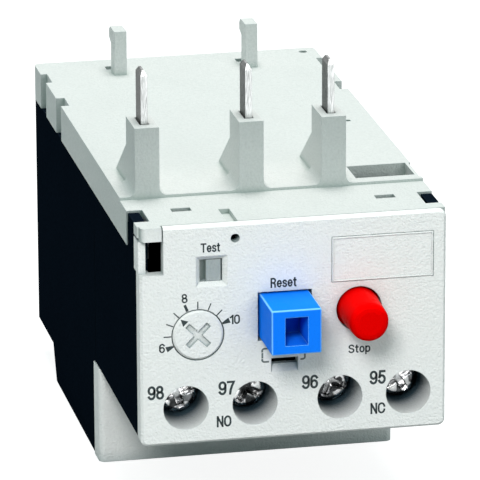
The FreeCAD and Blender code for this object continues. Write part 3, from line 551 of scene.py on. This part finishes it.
DIAL_LOW, DIAL_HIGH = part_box("current_dial")
DIAL = ((DIAL_LOW[0] + DIAL_HIGH[0]) / 2 / MM, (DIAL_LOW[2] + DIAL_HIGH[2]) / 2 / MM)
SCALE_START = 202.5
SCALE_STEP = 22.5
SCALE_STEPS = 8
# Each kind of tick: inner and outer radius, then half its width at each of them.
END_TICK = (3.86, 4.98, 0.13, 0.42)
MIDDLE_TICK = (3.92, 5.0, 0.2, 0.2)
PLAIN_TICK = (3.88, 5.0, 0.085, 0.085)
POINTER_ANGLE = 135
POINTER = (2.58, 3.56, 0.52, 0.03)


def bar(angle, inner, outer, half_in, half_out):
    """A tapered bar round the dial's middle, from one radius to another at an angle, in mm."""
    along = Vector((math.cos(angle), math.sin(angle)))
    side = Vector((-along.y, along.x))
    middle = Vector(DIAL)
    corners = (along * inner - side * half_in, along * outer - side * half_out,
               along * outer + side * half_out, along * inner + side * half_in)
    return [tuple(middle + corner) for corner in corners]


def tick(step):
    """One mark of the scale, wide at both ends and in the middle."""
    if step in (0, SCALE_STEPS):
        kind = END_TICK
    elif step == SCALE_STEPS // 2:
        kind = MIDDLE_TICK
    else:
        kind = PLAIN_TICK
    return bar(math.radians(SCALE_START - SCALE_STEP * step), *kind)


flat_shapes("dial_ticks", [tick(step) for step in range(SCALE_STEPS + 1)], FACE_Y, INK_DARK)
legend("dial_mark_8", "8", (-15.9, 36.1), (0.86, 1.4))
legend("dial_mark_10", "10", (-8.62, 32.47), (1.5, 1.42))
legend("dial_mark_6", "6", (-19.24, 28.85), (0.86, 1.4))
flat_shapes("dial_pointer", [bar(math.radians(POINTER_ANGLE), *POINTER)], DIAL_LOW[1], INK_DARK,
            "current_dial")


# ------------------------------------------------------- marks and legends

# The dashed corners of a bracket under the reset button, in x and z (mm).
GUIDE_HALF = 0.13
GUIDE_MARKS = [
    ([(-3.72, 27.72)] + sweep(-4.3, 27.4, 0.34, 0.32, 90, 180, 6) + [(-4.64, 27.3)], False),
    ([(-4.62, 26.95), (-4.62, 26.4)], False),
    ([(-4.64, 26.05)] + sweep(-4.3, 26.0, 0.34, 0.28, 180, 270, 6) + [(-3.78, 25.72)], False),
    ([(1.62, 26.6), (1.62, 26.1)] + sweep(1.3, 26.06, 0.32, 0.28, 0, -90, 6) + [(1.1, 25.78)], False),
]
bands("guide_marks", GUIDE_MARKS, GUIDE_HALF, FACE_Y, INK_GREY)

# Each legend of the face: its middle in x and z, and its width and height, in mm.
LEGENDS = {
    "98": ((-20.2, 22.21), (2.4, 2.1)),
    "97": ((-9.85, 22.19), (2.42, 2.1)),
    "96": ((2.38, 22.21), (2.38, 2.1)),
    "95": ((12.38, 22.16), (2.4, 2.1)),
    "NO": ((-10.26, 17.17), (2.15, 1.7)),
    "NC": ((12.4, 17.45), (2.17, 1.7)),
    "Test": ((-12.11, 43.46), (2.85, 1.4)),
    "Reset": ((-1.48, 37.54), (3.84, 1.5)),
    "Stop": ((9.65, 26.62), (3.24, 1.62)),
}
for text, (centre, size) in LEGENDS.items():
    legend("legend_" + text, text, centre, size)


# --------------------------------------------------------- floor and studio

FLOOR_HALF = 3
FLOOR_DROP = 0.02 * MM
FLOOR_DARK = (0.31, 0.31, 0.31)
FLOOR_PALE = (0.34, 0.34, 0.34)
FLOOR_LIFT = 0.88
WORLD_TINT = (0.62, 0.98, 0.95, 1)
WORLD_STRENGTH = 0.33
WHITE = (1, 1, 1, 1)


def paper():
    """Pale paper that nearly glows white where it is seen, and lights the part like dull paper."""
    nodes = Nodes("floor_paper")
    nodes.link(nodes.ramp(nodes.noise(PAPER_NOISE), [(0.3, FLOOR_DARK), (0.7, FLOOR_PALE)]),
               nodes.shader.inputs["Base Color"])
    nodes.shader.inputs["Roughness"].default_value = 0.9
    glow = nodes.add("ShaderNodeEmission")
    glow.inputs["Color"].default_value = WHITE
    nodes.link(nodes.calc("MULTIPLY", nodes.seen_directly(), FLOOR_LIFT), glow.inputs["Strength"])
    both = nodes.add("ShaderNodeAddShader")
    nodes.link(nodes.shader.outputs[0], both.inputs[0])
    nodes.link(glow.outputs[0], both.inputs[1])
    nodes.link(both.outputs[0], nodes.tree.nodes["Material Output"].inputs["Surface"])
    return nodes.material


def studio():
    """A world that lights the part a little cool and shows plain white behind it."""
    world = bpy.data.worlds.new("studio")
    bpy.context.scene.world = world
    world.use_nodes = True
    nodes = Tree(world.node_tree)
    dim = nodes.tree.nodes["Background"]
    dim.inputs["Color"].default_value = WORLD_TINT
    dim.inputs["Strength"].default_value = WORLD_STRENGTH
    white = nodes.add("ShaderNodeBackground")
    white.inputs["Color"].default_value = WHITE
    white.inputs["Strength"].default_value = 1.0
    chooser = nodes.add("ShaderNodeMixShader")
    nodes.link(nodes.seen_directly(), chooser.inputs[0])
    nodes.link(dim.outputs[0], chooser.inputs[1])
    nodes.link(white.outputs[0], chooser.inputs[2])
    nodes.link(chooser.outputs[0], nodes.tree.nodes["World Output"].inputs["Surface"])


floor_mesh = bpy.data.meshes.new("floor")
floor_corners = [(x * FLOOR_HALF, y * FLOOR_HALF, 0) for x, y in ((-1, -1), (1, -1), (1, 1), (-1, 1))]
floor_mesh.from_pydata(floor_corners, [], [(0, 1, 2, 3)])
floor = bpy.data.objects.new("floor", floor_mesh)
bpy.context.scene.collection.objects.link(floor)
floor.location.z = BOX_LOW.z - FLOOR_DROP
floor_mesh.materials.append(paper())
studio()


# -------------------------------------------------------------------- lamps

def softbox(name, place, target, size, watts, colour=(1, 1, 1)):
    """A rectangular lamp at a place, facing a target; the camera doesn't see it."""
    data = bpy.data.lights.new(name, "AREA")
    data.shape = "RECTANGLE"
    data.size, data.size_y = size
    data.energy = watts
    data.color = colour
    lamp = bpy.data.objects.new(name, data)
    bpy.context.scene.collection.objects.link(lamp)
    lamp.visible_camera = False
    lamp.location = place
    lamp.rotation_euler = (Vector(target) - Vector(place)).to_track_quat("-Z", "Y").to_euler()
    return lamp


def lit_by(lamp, name, wanted):
    """Let a lamp shine on some pieces only."""
    group = bpy.data.collections.new(name)
    for obj in bpy.context.scene.objects:
        if wanted(obj.name):
            group.objects.link(obj)
    lamp.light_linking.receiver_collection = group


softbox("top_light", place=(0.05, 0.08, 0.85), target=MIDDLE, size=(0.4, 0.4), watts=5.4,
        colour=(1.0, 0.985, 0.97))
softbox("front_fill", place=(0.35, -0.75, 0.35), target=MIDDLE, size=(0.6, 0.5), watts=1.5)
softbox("side_light", place=(-0.30, 0.30, 0.20), target=(-0.02, 0.04, 0.04), size=(0.12, 0.12), watts=0.13)

face_light = softbox("face_light", place=(-0.2, -0.52, 0.42), target=(0, FACE_Y, 0.03), size=(0.2, 0.2),
                     watts=3.5, colour=(1.0, 0.985, 0.985))
lit_by(face_light, "face_pieces",
       lambda name: name in FACE_NODES or name.startswith(("legend", "dial", "guide")))

hole_light = softbox("hole_light", place=(-0.12, -0.55, 0.19), target=(0, FACE_Y, 0.02), size=(0.12, 0.12),
                     watts=2.6)
lit_by(hole_light, "hole_pieces", lambda name: name.startswith("aux_"))

# a small lamp close to the lid's tooth, which stands in the face but is lit as part of the lid
tooth_light = softbox("tooth_light", place=(-0.021, FACE_Y - 0.008, 0.0445),
                      target=(-0.021, FACE_Y, 0.0452), size=(0.004, 0.002), watts=0.00036)
lit_by(tooth_light, "tooth_pieces", lambda name: name == "top_cover")


# ------------------------------------------------------------------- camera

CAMERA_PLACE = (-0.15247, -0.69660 + FACE_Y, 0.26876)
LENS = 393.66
SENSOR_WIDTH = 36
NEAREST, FURTHEST = 0.05, 20
AZIMUTH = 0.20475
PITCH = 0.30562
ROLL = -0.00429

camera_data = bpy.data.cameras.new("camera")
camera_data.lens = LENS
camera_data.sensor_width = SENSOR_WIDTH
camera_data.clip_start = NEAREST
camera_data.clip_end = FURTHEST
camera = bpy.data.objects.new("camera", camera_data)
bpy.context.scene.collection.objects.link(camera)
level = Vector((math.cos(AZIMUTH), -math.sin(AZIMUTH), 0))
ahead = Vector((math.sin(AZIMUTH) * math.cos(PITCH), math.cos(AZIMUTH) * math.cos(PITCH), -math.sin(PITCH)))
right = level * math.cos(ROLL) + level.cross(ahead) * math.sin(ROLL)
turn = Matrix((right, right.cross(ahead), -ahead)).transposed().to_4x4()
camera.matrix_world = Matrix.Translation(CAMERA_PLACE) @ turn
bpy.context.scene.camera = camera
bpy.context.scene.view_settings.view_transform = "Standard"

bpy.context.view_layer.update()
